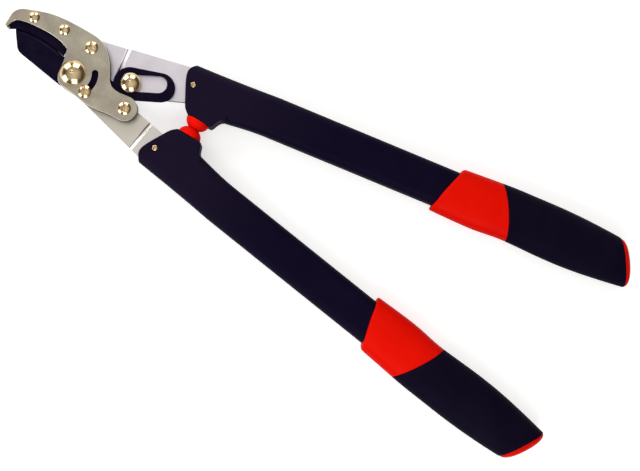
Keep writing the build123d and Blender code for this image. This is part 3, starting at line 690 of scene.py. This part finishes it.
@dataclass
class Anvil:
    """Anvil with the form of its node, whose seat is brought down until the blade's edge meets it.

    A face belongs to the seat when it is nearly upright and looks towards the blade, against Y. The two
    limits are on its normal.
    """

    node: str = "anvil"
    reach: float = 0.12 * MM
    upright: float = 0.3
    towards_blade: float = -0.5

    def build(self, source: bpy.types.Object, finishes: "Finishes") -> None:
        """Builds the anvil and lets it stand for its node.

        Each point of the seat moves by the reach along its own wall's normal, in the plane of the plates.
        Points that share a place move together, so the form stays closed.

        Args:
            source: The node that gives the form.
            finishes: Where its coating comes from.
        """
        mesh = source.data.copy()
        mesh.name = f"{self.node}_seated"
        places = read_rows(mesh.vertices, "co")
        corners = np.empty(len(mesh.loops), dtype=np.int32)
        mesh.loops.foreach_get("vertex_index", corners)
        sizes = np.empty(len(mesh.polygons), dtype=np.int32)
        mesh.polygons.foreach_get("loop_total", sizes)
        facing = np.repeat(read_rows(mesh.polygons, "normal"), sizes, axis=0)
        on_seat = (np.abs(facing[:, 2]) < self.upright) & (facing[:, 1] < self.towards_blade)
        shared = np.unique(np.round(places, 6), axis=0, return_inverse=True)[1].reshape(-1)
        push = np.zeros((shared.max() + 1, 3))
        np.add.at(push, shared[corners[on_seat]], facing[on_seat] * (1.0, 1.0, 0.0))
        size = np.linalg.norm(push, axis=1, keepdims=True)
        push = np.divide(push, size, out=np.zeros_like(push), where=size > 0)
        mesh.vertices.foreach_set("co", (places + self.reach * push[shared]).ravel())
        mesh.update()
        finishes.stand_in(placed(mesh), self.node, Body.HEAD, "blade_coating")


@dataclass
class Grip:
    """One handle's grip: its red collar, its black grip and its red end cap. Its sizes are in millimetres.

    The grip is written on the lower handle, where s runs along the handle from the line through the main
    pivot and t runs across it towards the other handle. The upper one is its mirror image.

    The pieces' skins are made of rows. A row is (share of the way from the piece's first line to its
    second one, further move along the handle, depth under the surface).
    """

    side: Side
    lean: float = math.radians(8.24)
    middle: float = 12.8
    offset: float = 20.46
    level: float = 13.8
    stations: tuple[float, ...] = (330.0, 360.0, 385.0, 404.0, 424.0, 450.0, 480.0, 505.0, 540.0)
    outer: tuple[float, ...] = (22.4, 24.2, 25.3, 25.9, 25.8, 25.5, 23.9, 21.5, 17.2)
    inner: tuple[float, ...] = (22.6, 24.0, 24.2, 23.1, 23.6, 24.8, 24.6, 22.9, 19.5)
    height: tuple[float, ...] = (25.0, 26.0, 26.6, 26.8, 27.2, 27.5, 27.0, 25.0, 21.0)
    squareness: float = 2.3
    front: float = 344.4
    front_slant: float = 0.355
    front_bow: float = 1.6
    joint: float = 400.4
    joint_slant: float = 0.44
    joint_bow: float = 2.6
    bow_reach: float = 30.0
    end: float = 519.4
    end_slant: float = math.radians(25.2)
    collar_edge: float = 2.2
    collar_mouth: tuple[Row, ...] = ((0.0, 0.9, 6.0), (0.0, 0.0, 5.0), (0.0, 0.0, 3.6))
    groove: tuple[tuple[float, float], ...] = ((0.0, 6.0), (0.0, 1.0), (0.1, 0.3), (0.35, 0.05), (0.9, 0.0))
    grip_edge: float = 1.2
    grip_end: tuple[Row, ...] = ((1.0, 0.0, 2.0), (1.0, 0.0, 5.0), (1.0, 0.0, 9.0))
    cap_width: float = 22.2
    cap_height: float = 11.2
    cap_thickness: float = 6.2
    cap_foot: float = 0.9
    cap_sink: float = 1.0
    cap_rings: int = 26
    around: int = 144
    first_turn: float = 1e-4

    def build(self, finishes: "Finishes") -> None:
        """Builds the three pieces and lets them stand for their nodes.

        Args:
            finishes: Where their plastics come from.
        """
        collar = np.array(
            [*self.collar_mouth, *self._edge(0.0, self.collar_edge),
             *((share, 0.0, 0.0) for share in np.linspace(0.07, 0.95, 26)), *self._groove(1.0)[::-1]]
        )
        grip = np.array(
            [*self._groove(0.0), *((share, 0.0, 0.0) for share in np.linspace(0.02, 0.97, 44)),
             *self._edge(1.0, self.grip_edge)[::-1], *self.grip_end]
        )
        pieces = (
            ("collar", self._shell(collar, self._front_line, self._joint_line), False, "red_plastic"),
            ("grip", self._shell(grip, self._joint_line, self._end_line), True, "grip_plastic"),
            ("end_cap", self._cap(), True, "red_plastic"),
        )
        for part, rings, capped, slot in pieces:
            node = f"{self.side.value}_{part}"
            finishes.stand_in(skin(f"{node}_skin", rings, capped), node, self.side.body, slot)

    def _edge(self, share: float, radius: float) -> list[Row]:
        """Rows of a rounded edge, from its end face to the side.

        Row a of the quarter round lies radius(1 - cos a) in from the end face and radius(1 - sin a) deep.

        Args:
            share: 0 for an edge at the first line, 1 for one at the second line.
            radius: The edge's radius.

        Returns:
            The rows.
        """
        way = 1.0 - 2.0 * share
        turn = np.linspace(0.0, 0.5 * np.pi, 7)
        return [(share, way * radius * (1 - math.cos(a)), radius * (1 - math.sin(a))) for a in turn]

    def _groove(self, share: float) -> list[Row]:
        """Rows of the groove beside the joint, from deep inside up to the surface.

        Args:
            share: 0 for a joint at the first line, 1 for one at the second line.

        Returns:
            The rows.
        """
        way = 1.0 - 2.0 * share
        return [(share, way * move, depth) for move, depth in self.groove]

    def _front_line(self, across: np.ndarray) -> np.ndarray:
        """Station of the collar's front edge at a shift across the handle: a slanted, slightly bowed line."""
        return self.front - self.front_slant * across - self._bow(self.front_bow, across)

    def _joint_line(self, across: np.ndarray) -> np.ndarray:
        """Station of the joint between collar and grip: a slanted line that bows towards the end."""
        return self.joint + self.joint_slant * across + self._bow(self.joint_bow, across)

    def _end_line(self, across: np.ndarray) -> np.ndarray:
        """Station of the grip's slanted end."""
        return self.end + math.tan(self.end_slant) * across

    def _bow(self, height: float, across: np.ndarray) -> np.ndarray:
        """Bow of a line: a parabola that is its height in the middle and 0 at the bow's reach."""
        return height * (1 - (across / self.bow_reach) ** 2)

    def _place(self, along: np.ndarray, across: np.ndarray, up: np.ndarray) -> np.ndarray:
        """Points in the frame, in metres, from places along, across and above the handle's middle.

        The rings of the upper handle are turned round, so that the mirrored skin still faces outwards.
        """
        x = along * math.cos(self.lean) + across * math.sin(self.lean)
        y = self.middle - self.offset - along * math.sin(self.lean) + across * math.cos(self.lean)
        if self.side is Side.UPPER:
            y = 2 * self.middle - y
        points = np.stack([x, y, up + self.level], axis=-1) * MM
        return points[:, ::-1] if self.side is Side.UPPER else points

    def _shell(self, rows: np.ndarray, start: Line, stop: Line) -> np.ndarray:
        """Rings of a skin between two lines across the handle.

        A section is a squared oval: its shift is c + (a - d) S(cos f) and its height (h - d) S(sin f),
        where S(v) is sign(v) |v|^(2/n), d is the depth under the surface, and c, a and h follow the
        smooth profile at the point's own station. The station depends on the shift and the shift on the
        station, so both are worked out a few times in turn.

        Args:
            rows: The skin's rows.
            start: Line where the share is 0.
            stop: Line where the share is 1.

        Returns:
            One ring of points for each row.
        """
        turn = np.linspace(0.0, 2 * np.pi, self.around, endpoint=False)[None, :] + self.first_turn
        wide, tall = self._squared(turn)
        share, move, depth = (rows[:, k:k + 1] for k in range(3))
        along = np.full((len(rows), self.around), 0.5 * (self.front + self.end))
        for _ in range(8):
            half, shift, rise = self._section(along)
            across = shift + (half - depth) * wide
            along = (1 - share) * start(across) + share * stop(across) + move
        return self._place(along, across, (rise - depth) * tall)

    def _squared(self, turn: np.ndarray) -> tuple[np.ndarray, np.ndarray]:
        """Places on a squared oval of half sizes 1 at the given angles: sign(v) |v|^(2/n) of cos and sin."""
        power = 2.0 / self.squareness
        wide, tall = np.cos(turn), np.sin(turn)
        return np.sign(wide) * np.abs(wide) ** power, np.sign(tall) * np.abs(tall) ** power

    def _section(self, along: np.ndarray) -> tuple[np.ndarray, np.ndarray, np.ndarray]:
        """Half width, sideways shift and half height of the grip at the given stations."""
        knots = np.array(self.stations)
        outer = smooth_through(knots, np.array(self.outer), along)
        inner = smooth_through(knots, np.array(self.inner), along)
        height = smooth_through(knots, np.array(self.height), along)
        return (outer + inner) / 2, (inner - outer) / 2, height / 2

    def _cap(self) -> np.ndarray:
        """Rings of the end cap: a low oval dome on the grip's slanted end, whose foot is sunk in the grip.

        At a share r of the way out, the dome stands thickness (1 - r^3)^0.55 off the end.
        """
        inward = np.linspace(0.5 * np.pi, 0.0, self.cap_rings, endpoint=False)
        out = np.concatenate([[self.cap_foot, 1.0], np.sin(inward)])[:, None]
        off = self.cap_thickness * (1 - out ** 3.0) ** 0.55
        off[:2] = -self.cap_sink
        turn = np.linspace(0.0, 2 * np.pi, self.around, endpoint=False)[None, :]
        wide, tall = self._squared(turn)
        face = out * self.cap_width * wide
        along = self.end + face * math.sin(self.end_slant) + off * math.cos(self.end_slant)
        across = face * math.cos(self.end_slant) - off * math.sin(self.end_slant)
        return self._place(along, across, out * self.cap_height * tall)


@dataclass
class Finishes:
    """Every finish of the tool, with the nodes of the construction model that wear it."""

    made: dict[str, bpy.types.Material] = field(default_factory=dict)

    def build(self) -> None:
        """Builds all the materials under the names of the record's slots."""
        violet = (0.6, 0.48, 1.0)
        warm = (1.0, 0.35, 0.28)
        # Wall, side and root colours are painted shade; the plate's edge and shaft's front colours are
        # painted light.
        finishes = [
            RolledSteel("plate_steel", light=(0.62, 0.58, 0.45), dark=(0.45, 0.38, 0.31),
                        wall=(0.09, 0.08, 0.08), roughness=0.34, streak_turn=30.0,
                        edge_highlight=(0.66, 0.63, 0.54)),
            RolledSteel("arm_steel", light=(0.93, 0.88, 0.94), dark=(0.84, 0.78, 0.84),
                        wall=(0.10, 0.09, 0.10), roughness=0.38, streak_turn=-12.0,
                        crease_shade=(0.0141, 0.0147), root=(0.76, 0.71, 0.58)),
            BlackCoating("blade_coating", colour=(0.004, 0.0025, 0.010), roughness=0.34, specular=0.06,
                         tint=violet),
            PolishedPlating("fastener_metal", light=(0.82, 0.65, 0.40), dark=(0.62, 0.45, 0.25),
                            roughness=0.12),
            PolishedPlating("inner_metal", light=(0.78, 0.78, 0.78), dark=(0.62, 0.62, 0.63),
                            roughness=0.22),
            MouldedPlastic("shaft_plastic", colour=(0.0035, 0.002, 0.011), lifted=(0.005, 0.003, 0.014),
                           side=(0.002, 0.001, 0.009), roughness=0.50, grain_scale=2600.0,
                           grain_depth=0.00004, specular=0.06, tint=violet,
                           front=(0.010, 0.006, 0.019)),
            MouldedPlastic("grip_plastic", colour=(0.004, 0.0025, 0.010), lifted=(0.006, 0.004, 0.013),
                           side=(0.0012, 0.0006, 0.007), roughness=0.55, grain_scale=1900.0,
                           grain_depth=0.00005, specular=0.05, tint=violet),
            MouldedPlastic("red_plastic", colour=(0.82, 0.005, 0.001), lifted=(0.87, 0.0065, 0.0015),
                           side=(0.68, 0.003, 0.001), roughness=0.36, grain_scale=1500.0,
                           grain_depth=0.00002, specular=0.06, tint=warm),
            MouldedPlastic("bumper_rubber", colour=(0.90, 0.005, 0.001), lifted=(0.93, 0.008, 0.002),
                           side=(0.80, 0.004, 0.001), roughness=0.42, grain_scale=1500.0,
                           grain_depth=0.00003, specular=0.06, tint=warm),
        ]
        for finish in finishes:
            self.made[finish.name] = finish.material()
            LOG.info("finish %s", finish.name)

    def dress(self, piece: bpy.types.Object, slot: str) -> None:
        """Gives a piece the finish of a slot.

        Args:
            piece: The object to dress.
            slot: The record's slot name.
        """
        piece.data.materials.clear()
        piece.data.materials.append(self.made[slot])

    def dress_frame(self, frame: dict) -> None:
        """Gives every node of the construction model the finish that its record names."""
        for row in frame["record"]["subparts"]:
            self.dress(frame["nodes"][row["node"]], row["material_slot"])

    def stand_in(self, piece: bpy.types.Object, node: str, body: Body, slot: str) -> None:
        """Dresses a new piece, sets it on its body and lets it stand for a node.

        Args:
            piece: The new object.
            node: The node of the construction model that it replaces.
            body: The body that it moves with.
            slot: The record's slot name.
        """
        self.dress(piece, slot)
        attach(piece, body.value)
        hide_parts(node)
        LOG.info("%s stands for %s", piece.name, node)


@dataclass(frozen=True)
class SoftLamp:
    """One soft lamp: its direction from the main pivot in degrees, its watts and its size in metres."""

    azimuth: float
    elevation: float
    power: float
    width: float
    height: float
    reach: float = 1.35


@dataclass
class Studio:
    """White table and surroundings, a dim ceiling, four soft lamps round the head, and the camera."""

    camera_place: Point = (0.24733, -0.07774, 0.81356)
    camera_turn: Point = (3.502, -3.313, 30.402)
    lens: float = 50.0
    lamps: tuple[SoftLamp, ...] = (
        SoftLamp(158.0, 27.0, 6.2, 0.74, 0.74),
        SoftLamp(107.0, 31.0, 6.2, 0.74, 0.74),
        SoftLamp(236.0, 25.0, 6.2, 0.74, 0.70),
        SoftLamp(305.0, 37.0, 6.2, 0.70, 0.70),
    )
    fill: float = 0.5
    table_half: float = 6.0
    table_drop: float = 0.0001
    table_grey: float = 0.72
    glow: tuple[float, float] = (0.58, 0.95)
    glow_span: tuple[float, float] = (0.6, 1.6)
    ceiling_height: float = 1.9
    ceiling_radius: float = 9.0
    ceiling_middle: float = 0.9
    ceiling_rim: Colour = (0.10, 0.08, 0.05)
    ceiling_span: tuple[float, float] = (0.2, 2.4)

    def build(self) -> None:
        """Makes the floor, the ceiling, the lamps, the world and the camera."""
        self._floor()
        self._ceiling()
        for lamp in self.lamps:
            self._lamp(lamp)
        self._world()
        self._camera()

    @staticmethod
    def _sheet(name: str, rim: np.ndarray, material: bpy.types.Material) -> bpy.types.Object:
        """Makes one flat face through the points of its rim, which isn't part of the tool."""
        mesh = bpy.data.meshes.new(name)
        mesh.from_pydata(rim.tolist(), [], [tuple(range(len(rim)))])
        mesh.materials.append(material)
        sheet = placed(mesh)
        return sheet

    def _floor(self) -> None:
        """White table: lit as grey paper, with a glow where the camera and reflections see it.

        The glow is less strong under the camera than further out, where the lamps no longer reach.
        """
        nodes = Nodes("white_table")
        paper = nodes.add("ShaderNodeBsdfDiffuse")
        paper.inputs["Color"].default_value = (self.table_grey, self.table_grey, self.table_grey, 1.0)
        glow = nodes.add("ShaderNodeEmission")
        away = nodes.distance_from((*self.camera_place[:2], 0.0))
        nodes.link(nodes.remap(away, *self.glow_span, *self.glow), glow.inputs["Strength"])
        both = nodes.add("ShaderNodeAddShader")
        nodes.link(paper.outputs[0], both.inputs[0])
        nodes.link(glow.outputs[0], both.inputs[1])
        pick = nodes.add("ShaderNodeMixShader")
        nodes.link(seen_directly(nodes.tree), pick.inputs[0])
        nodes.link(paper.outputs[0], pick.inputs[1])
        nodes.link(both.outputs[0], pick.inputs[2])
        half = self.table_half
        corners = [(-half, -half), (half, -half), (half, half), (-half, half)]
        rim = np.column_stack([corners, np.full(len(corners), -self.table_drop)])
        self._sheet("floor", rim, nodes.surface(pick.outputs[0]))

    def _ceiling(self) -> None:
        """Ceiling over the camera: it glows softly in the middle and is dim and warm further out.

        It lights the tool and shows in its metal, and it ends short of the white surroundings. The camera
        doesn't see it.
        """
        nodes = Nodes("ceiling_glow")
        away = nodes.distance_from((*self.camera_place[:2], self.ceiling_height))
        middle = (self.ceiling_middle, self.ceiling_middle, self.ceiling_middle)
        level = nodes.remap(away, *self.ceiling_span, 0.0, 1.0)
        glow = nodes.add("ShaderNodeEmission")
        nodes.link(nodes.ramp(level, [(0.0, middle), (1.0, self.ceiling_rim)]), glow.inputs["Color"])
        turn = np.linspace(0.0, -2 * np.pi, 96, endpoint=False)
        rim = np.column_stack(
            [self.ceiling_radius * np.cos(turn), self.ceiling_radius * np.sin(turn),
             np.full_like(turn, self.ceiling_height)]
        )
        self._sheet("ceiling", rim, nodes.surface(glow.outputs[0])).visible_camera = False

    def _lamp(self, soft: SoftLamp) -> None:
        """Makes one soft lamp, turned towards the middle of the picture.

        Args:
            soft: Where the lamp stands and how large and strong it is.
        """
        light = bpy.data.lights.new("soft_lamp", "AREA")
        light.shape = "RECTANGLE"
        light.size = soft.width
        light.size_y = soft.height
        light.energy = soft.power
        lamp = bpy.data.objects.new("soft_lamp", light)
        azimuth, elevation = math.radians(soft.azimuth), math.radians(soft.elevation)
        lamp.location = (
            soft.reach * math.cos(elevation) * math.cos(azimuth),
            soft.reach * math.cos(elevation) * math.sin(azimuth),
            soft.reach * math.sin(elevation),
        )
        aim = Vector((0.5 * self.camera_place[0], 0.5 * self.camera_place[1], 0.0)) - lamp.location
        lamp.rotation_euler = aim.to_track_quat("-Z", "Y").to_euler()
        bpy.context.scene.collection.objects.link(lamp)

    def _world(self) -> None:
        """White surroundings for the camera and for reflections, and a softer fill for everything else."""
        world = bpy.data.worlds.new("studio")
        bpy.context.scene.world = world
        world.use_nodes = True
        tree = world.node_tree
        tree.nodes.clear()
        pick = tree.nodes.new("ShaderNodeMixShader")
        tree.links.new(seen_directly(tree), pick.inputs[0])
        for place, strength in ((1, self.fill), (2, 1.0)):
            light = tree.nodes.new("ShaderNodeBackground")
            light.inputs["Color"].default_value = (1.0, 1.0, 1.0, 1.0)
            light.inputs["Strength"].default_value = strength
            tree.links.new(light.outputs[0], pick.inputs[place])
        out = tree.nodes.new("ShaderNodeOutputWorld")
        tree.links.new(pick.outputs[0], out.inputs[0])

    def _camera(self) -> None:
        """Camera over the table, turned as the photograph was framed."""
        camera = bpy.data.objects.new("camera", bpy.data.cameras.new("camera"))
        camera.data.lens = self.lens
        camera.location = self.camera_place
        camera.rotation_euler = Euler([math.radians(a) for a in self.camera_turn])
        bpy.context.scene.collection.objects.link(camera)
        bpy.context.scene.camera = camera


def main() -> None:
    """Builds the whole scene in order."""
    logging.basicConfig(level=logging.INFO, format="%(name)s: %(message)s")
    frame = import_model()
    finishes = Finishes()
    finishes.build()
    finishes.dress_frame(frame)
    Fasteners().build(finishes)
    Anvil().build(frame["nodes"]["anvil"], finishes)
    for side in Side:
        Grip(side).build(finishes)
    Studio().build()
    bpy.context.scene.view_settings.view_transform = "Standard"


if __name__ == "__main__":
    main()
